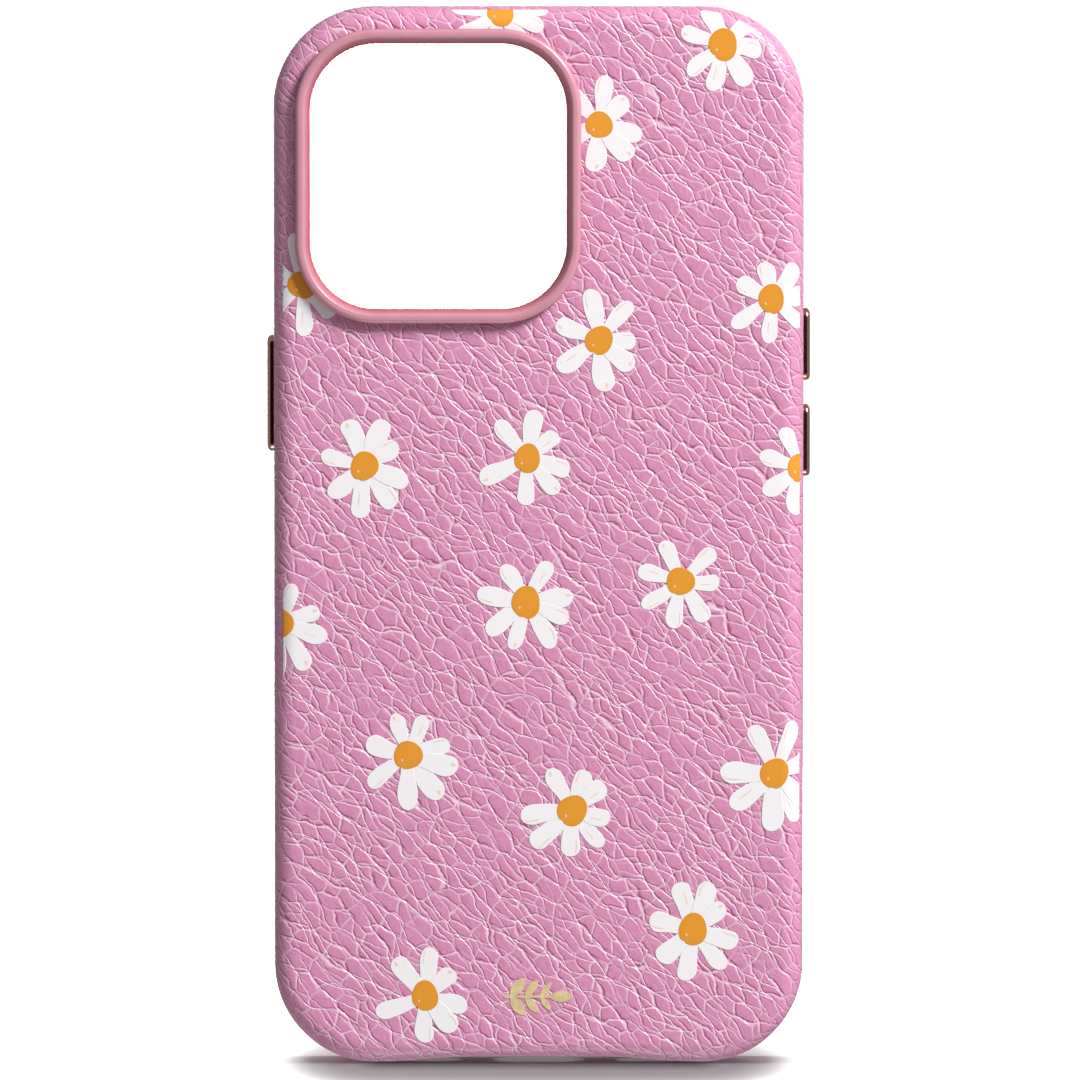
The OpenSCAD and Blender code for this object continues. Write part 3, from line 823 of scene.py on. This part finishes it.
def build_ring(sizes, colours):
    """Sweeps the ring's section round its rounded rectangle."""
    low, high = RING_LOW, RING_HIGH
    middle, half = (low + high) / 2, (high - low) / 2
    seat = low[1] + sizes.ring_height
    bend = sizes.ring_radius
    turns = np.radians(np.linspace(0, 90, 25))
    path = []
    for quarter in range(4):
        x_side, z_side = ((1, 1), (-1, 1), (-1, -1), (1, -1))[quarter]
        for turn in turns + quarter * math.pi / 2:
            path.append((middle[0] + x_side * (half[0] - bend), middle[2] + z_side * (half[2] - bend), turn))
    profile = ring_profile(sizes)
    points = [(x + (bend - inset) * math.cos(turn), seat - up, z + (bend - inset) * math.sin(turn))
              for x, z, turn in path for inset, up in profile]
    count = len(profile)
    faces = []
    for i in range(len(path)):
        here, after = i * count, (i + 1) % len(path) * count
        for j in range(count):
            k = (j + 1) % count
            faces.append((here + j, here + k, after + k, after + j))
    ring = mesh_object("camera_ring_enamel", points, faces)
    work = bmesh.new()
    work.from_mesh(ring.data)
    bmesh.ops.recalc_face_normals(work, faces=work.faces)
    work.to_mesh(ring.data)
    work.free()
    # The crest share marks where the enamel gets its painted highlight.
    rise = np.array([up for _, up in profile])
    crest = np.clip((rise - sizes.ring_height + 0.7 * MM) / (0.45 * MM), 0, 1)
    add_attribute(ring.data, "crest", "FLOAT", np.tile(crest, len(path)))
    wear(ring, enamel_finish(colours))
    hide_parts("camera_ring")
    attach(ring, "case")


# ---------------------------------------------------------------- finishes of the frame's own pieces

def moulded_finish(name, colour, grain, roughness):
    """Moulded plastic or rubber with an even spark-eroded texture and slow shifts of tone."""
    finish = Finish(name, roughness=roughness, specular_ior_level=0.45)
    place = in_millimetres(finish)
    fine = finish.nodes.noise(place, grain, 3.0, 0.6)
    slow = finish.nodes.noise(place, 0.12, 2.0)
    share = slow.ramp(0.3, 0.7) * 0.5 + fine.ramp(0.4, 0.6) * 0.2
    finish.feed("Base Color", shades(finish, share, colour, 0.88))
    finish.feed("Roughness", roughness - 0.06 + fine * 0.12)
    finish.bump(fine * 0.03, MM, 0.6)
    return finish


def microfibre_finish(name, colour):
    """Short brushed fibres: soft streaks in two directions, with a faint sheen."""
    finish = Finish(name, roughness=0.95, specular_ior_level=0.15, sheen_weight=0.35, sheen_roughness=0.5)
    nodes = finish.nodes
    lying = nodes.noise(in_millimetres(finish, (1.0, 1.0, 0.25)), 5.0, 4.0, 0.7)
    standing = nodes.noise(in_millimetres(finish, (0.3, 1.0, 1.0)), 6.0, 4.0, 0.7)
    brushed = nodes.noise(in_millimetres(finish), 0.12, 3.0, 0.6)
    fibres = lying * 0.6 + standing * 0.4
    share = fibres.ramp(0.35, 0.65) * 0.6 + brushed.ramp(0.35, 0.65) * 0.2
    finish.feed("Base Color", shades(finish, share, colour, 0.8))
    finish.bump(fibres * 0.09, MM, 0.8)
    return finish


def foam_finish(name, colour):
    """Dark closed-cell foam with small pits."""
    finish = Finish(name, roughness=0.9, specular_ior_level=0.2)
    pits = finish.nodes.cracks(in_millimetres(finish), 5.0).ramp(0.0, 0.25)
    # Painted shade: the foam is painted darker in its pits, where shade falls.
    finish.feed("Base Color", shades(finish, 1 - pits, colour, 0.5))
    finish.bump(pits * 0.05, MM, 0.8)
    return finish


def metal_finish(name, colour, roughness, brush, streak):
    """Metal brushed along its length."""
    finish = Finish(name, metallic=1.0, roughness=roughness)
    place = in_millimetres(finish, (1.0, 1.0, 0.06))
    lines = finish.nodes.noise(place, 14.0, 3.0, 0.6)
    cloud = finish.nodes.noise(in_millimetres(finish), 0.6, 2.0)
    share = cloud.ramp(0.3, 0.7) * 0.6 + lines.ramp(0.4, 0.6) * 0.2
    finish.feed("Base Color", shades(finish, share, colour, 0.85))
    finish.feed("Roughness", roughness - brush / 2 + lines * brush)
    finish.bump(lines * streak, MM, 0.6)
    return finish


def foil_finish(colours):
    """Hot-stamped foil: metallic, with the leather's tooth showing through."""
    finish = Finish("stamped_foil", metallic=0.25, roughness=0.3)
    place = in_millimetres(finish)
    tooth = finish.nodes.noise(place, 2.2, 4.0, 0.65)
    worn = finish.nodes.noise(place, 0.9, 3.0)
    finish.feed("Base Color", shades(finish, worn.ramp(0.35, 0.7), colours.foil, 0.82))
    finish.feed("Roughness", 0.38 + tooth * 0.2)
    finish.bump(tooth * 0.06, MM, 0.8)
    return finish


def build_springs():
    """Copies the frame's silicone rings behind the buttons, which on the real case flatten against their
    plates as the buttons go in, and gives the copies a silicone finish.
    """
    soft = moulded_finish("spring_silicone", linear(206, 180, 190), 2.4, 0.55)
    for joint in frame["record"]["behaviour"]["joints"]:
        deforming = joint["deforming_nodes"][0]
        node, seat = deforming["node"], deforming["fixed_end_x_m"]
        ring = frame["nodes"][node].copy()
        ring.data = ring.data.copy()
        ring.name = node.replace("spring", "spring_ring")
        bpy.context.scene.collection.objects.link(ring)
        wear(ring, soft)
        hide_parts(node)
        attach(ring, "case")
        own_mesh(ring)


def dress_frame(colours):
    """Gives each of the frame's own pieces its material."""
    shell = moulded_finish("moulded_shell", colours.shell, 4.0, 0.5)
    steel = metal_finish("plate_steel", linear(196, 198, 202), 0.35, 0.12, 0.01)
    rose = metal_finish("polished_rose_gold", colours.rose_gold, 0.2, 0.1, 0.003)
    pad = moulded_finish("pad_silicone", linear(226, 222, 220), 3.0, 0.6)
    looks = {
        "shell": shell,
        "rim_bumper": moulded_finish("rim_elastomer", colours.rim, 6.0, 0.62),
        "back_lining": microfibre_finish("lining_microfibre", colours.lining),
        "camera_gasket": foam_finish("gasket_foam", linear(70, 66, 70)),
        "camera_retainer": moulded_finish("retainer_plastic", linear(214, 176, 184), 3.0, 0.45),
        "foil_sprig": foil_finish(colours),
    }
    for name in BUTTONS:
        looks.update({name + "_cap": rose, name + "_pad": pad, name + "_retainer": steel})
    for node, finish in looks.items():
        wear(frame["nodes"][node], finish)


# ---------------------------------------------------------------- stage

VIEW_HEIGHT = 153.7 * MM      # height that the camera takes in, at the case's back
CAMERA_DISTANCE = 1.2
CAMERA_RISE = math.radians(2.5)
CAMERA_SENSOR = 36            # in millimetres
AIM_ACROSS, AIM_DOWN = 0.2 * MM, 0.56 * MM      # camera's aim, off the middle of the case's back
KEY_DISTANCE = 1.2
KEY_TURN, KEY_RISE = math.radians(47), math.radians(38)
WORLD_STRENGTH = 0.27
PAPER_RADIUS = 0.6
PAPER_SIDES = 96
BACKDROP_RADIUS = 4.0
CARD_HALF_WIDTH, CARD_HALF_HEIGHT, CARD_PLACE = 1.1, 1.6, -1.5


def grey(value):
    return value, value, value, 1


def area_light(name, place, target, size, power):
    lamp = bpy.data.lights.new(name, "AREA")
    lamp.shape = "RECTANGLE"
    lamp.size, lamp.size_y = size
    lamp.energy = power
    made = bpy.data.objects.new(name, lamp)
    bpy.context.scene.collection.objects.link(made)
    made.location = place
    made.rotation_euler = (Vector(target) - Vector(place)).to_track_quat("-Z", "Y").to_euler()
    return made


def link_light(lamp, piece, state):
    """Makes a light leave a piece out, or light that piece alone."""
    chosen = bpy.data.collections.new(lamp.name + "_receivers")
    chosen.objects.link(piece)
    lamp.light_linking.receiver_collection = chosen
    chosen.collection_objects[0].light_linking.link_state = state


def hide_from(piece, *rays):
    for ray in rays:
        setattr(piece, "visible_" + ray, False)


def paper_finish():
    """White paper with a painted grey shadow round and under the case, that glows softly further off and so
    stays plain white.
    """
    finish = Finish("white_paper", roughness=0.95, specular_ior_level=0.1, emission_strength=1.0)
    nodes = finish.nodes
    place = finish.place()
    across, along = (abs(nodes.add("ShaderNodeSeparateXYZ", {}, {"Vector": place}, axis)) for axis in "XY")
    side = (across - 0.022).most(0.0) / 0.02
    depth = (along - 0.004).most(0.0) / 0.045
    near = (side * side + depth * depth).math("SQRT")
    # Painted shadow: the paper is painted grey round the case, darkest close under it.
    painted_shadow = nodes.mix(near.ramp(0.0, 0.25), grey(0.17), grey(0.4))
    finish.feed("Base Color", nodes.mix(near.ramp(0.3, 0.85), painted_shadow, grey(0.86)))
    finish.feed("Emission Color", nodes.mix(near.ramp(0.5, 1.05), grey(0), grey(1.1)))
    finish.bump(nodes.noise(place, 900.0, 3.0), 0.02 * MM, 0.3)
    return finish


def build_paper():
    """A flat round sheet of white paper under the case."""
    turns = np.linspace(0, 2 * math.pi, PAPER_SIDES, endpoint=False)
    points = [(PAPER_RADIUS * math.cos(t), PAPER_RADIUS * math.sin(t), 0.0) for t in turns]
    paper = mesh_object("paper_floor", points, [range(PAPER_SIDES)], smooth=False)
    wear(paper, paper_finish())
    hide_from(paper, "diffuse", "glossy", "shadow")
    return paper


def build_backdrop():
    """A large white globe round the whole set, which only the camera sees."""
    globe = bpy.data.meshes.new("white_backdrop")
    work = bmesh.new()
    bmesh.ops.create_uvsphere(work, u_segments=32, v_segments=16, radius=BACKDROP_RADIUS)
    work.to_mesh(globe)
    work.free()
    backdrop = bpy.data.objects.new("white_backdrop", globe)
    bpy.context.scene.collection.objects.link(backdrop)
    wear(backdrop, Finish("white_backdrop", base_color=grey(0), emission_color=grey(1),
                          emission_strength=1.1, specular_ior_level=0.0))
    hide_from(backdrop, "diffuse", "glossy", "transmission", "volume_scatter", "shadow")


def build_card():
    """A dark card behind the camera, seen only as a reflection."""
    corners = [(x * CARD_HALF_WIDTH, CARD_PLACE, z * CARD_HALF_HEIGHT)
               for x, z in ((-1, -1), (1, -1), (1, 1), (-1, 1))]
    card = mesh_object("dark_card", corners, [(0, 1, 2, 3)])
    wear(card, Finish("black_card", base_color=grey(0.004), roughness=1.0, specular_ior_level=0.0))
    hide_from(card, "camera", "diffuse", "shadow")


def build_lights(paper):
    """The key light from the right, a light for the paper alone, and the fills."""
    middle = Vector((0, LEATHER_LOW[1], LEATHER_HIGH[2] / 2))
    level = math.cos(KEY_RISE)
    toward = Vector((math.sin(KEY_TURN) * level, -math.cos(KEY_TURN) * level, math.sin(KEY_RISE)))
    key = area_light("key", middle + toward * KEY_DISTANCE, middle, (0.4, 0.4), 17.6)
    link_light(key, paper, "EXCLUDE")
    top = area_light("floor_light", (0, 0.1, 0.9), (0, 0.05, 0), (0.9, 0.6), 9.0)
    link_light(top, paper, "INCLUDE")
    area_light("edge_fill", (0.4, 0.9, 0.45), middle, (0.7, 0.7), 2.0)
    area_light("back_fill", (-0.15, 1.3, 0.12), middle, (0.6, 0.6), 11.0)
    bounce = area_light("floor_bounce", (0, -0.12, -0.5), middle, (0.3, 0.2), 0.8)
    link_light(bounce, paper, "EXCLUDE")


def build_camera(scene):
    """A camera behind the standing case, a little above its middle, with a long lens."""
    target = Vector((AIM_ACROSS, LEATHER_LOW[1], LEATHER_HIGH[2] / 2 - AIM_DOWN))
    lens = bpy.data.cameras.new("camera")
    lens.sensor_width = CAMERA_SENSOR
    lens.lens = CAMERA_SENSOR * CAMERA_DISTANCE / VIEW_HEIGHT
    lens.clip_start = 0.01
    camera = bpy.data.objects.new("camera", lens)
    scene.collection.objects.link(camera)
    camera.location = target + Vector((0, -math.cos(CAMERA_RISE), math.sin(CAMERA_RISE))) * CAMERA_DISTANCE
    camera.rotation_euler = (target - camera.location).to_track_quat("-Z", "Y").to_euler()
    scene.camera = camera


def build_stage(scene):
    paper = build_paper()
    build_backdrop()
    build_card()
    world = bpy.data.worlds.new("studio")
    scene.world = world
    world.use_nodes = True
    background = world.node_tree.nodes["Background"]
    background.inputs["Color"].default_value = grey(1)
    background.inputs["Strength"].default_value = WORLD_STRENGTH
    scene.view_settings.view_transform = "Standard"
    build_lights(paper)
    build_camera(scene)


# ---------------------------------------------------------------- operators

class PHONECASE_OT_leather(bpy.types.Operator):
    """Wrap the case's back and sides in grained leather"""
    bl_idname = "phone_case.leather"
    bl_label = "Leather wrap"

    def execute(self, context):
        scene = context.scene
        build_leather(scene.case_sizes, scene.case_grain, scene.case_finishes)
        return {"FINISHED"}


class PHONECASE_OT_daisies(bpy.types.Operator):
    """Print the daisies on the leather"""
    bl_idname = "phone_case.daisies"
    bl_label = "Daisies"

    def execute(self, context):
        scene = context.scene
        build_daisies(scene.case_sizes, scene.case_daisies, scene.case_finishes)
        return {"FINISHED"}


class PHONECASE_OT_ring(bpy.types.Operator):
    """Make the enamelled camera ring"""
    bl_idname = "phone_case.ring"
    bl_label = "Camera ring"

    def execute(self, context):
        build_ring(context.scene.case_sizes, context.scene.case_finishes)
        return {"FINISHED"}


class PHONECASE_OT_springs(bpy.types.Operator):
    """Make the silicone rings that push the buttons back out"""
    bl_idname = "phone_case.springs"
    bl_label = "Button springs"

    def execute(self, context):
        build_springs()
        return {"FINISHED"}


class PHONECASE_OT_finishes(bpy.types.Operator):
    """Give the shell, rim, lining, buttons and foil their materials"""
    bl_idname = "phone_case.finishes"
    bl_label = "Finishes"

    def execute(self, context):
        dress_frame(context.scene.case_finishes)
        return {"FINISHED"}


class PHONECASE_OT_stage(bpy.types.Operator):
    """Set the floor, the lights and the camera"""
    bl_idname = "phone_case.stage"
    bl_label = "Stage"

    def execute(self, context):
        build_stage(context.scene)
        return {"FINISHED"}


# ---------------------------------------------------------------- panel and registration

class PHONECASE_PT_panel(bpy.types.Panel):
    """Lists the case's pieces"""
    bl_idname = "PHONECASE_PT_panel"
    bl_label = "Phone case"
    bl_space_type = "VIEW_3D"
    bl_region_type = "UI"
    bl_category = "Phone case"

    def draw(self, context):
        for step in STEPS:
            self.layout.operator(step.bl_idname)


SETTINGS = {"case_sizes": CaseSizes, "case_grain": GrainSettings, "case_daisies": DaisySettings,
            "case_finishes": Finishes}
STEPS = (PHONECASE_OT_leather, PHONECASE_OT_daisies, PHONECASE_OT_ring, PHONECASE_OT_springs,
         PHONECASE_OT_finishes, PHONECASE_OT_stage)


def register():
    for group in (*SETTINGS.values(), *STEPS, PHONECASE_PT_panel):
        bpy.utils.register_class(group)
    for name, group in SETTINGS.items():
        setattr(bpy.types.Scene, name, bpy.props.PointerProperty(type=group))


def unregister():
    for name in SETTINGS:
        delattr(bpy.types.Scene, name)
    for group in reversed((*SETTINGS.values(), *STEPS, PHONECASE_PT_panel)):
        bpy.utils.unregister_class(group)


def main():
    register()
    for step in STEPS:
        area, _, name = step.bl_idname.partition(".")
        getattr(getattr(bpy.ops, area), name)()


if __name__ == "__main__":
    main()
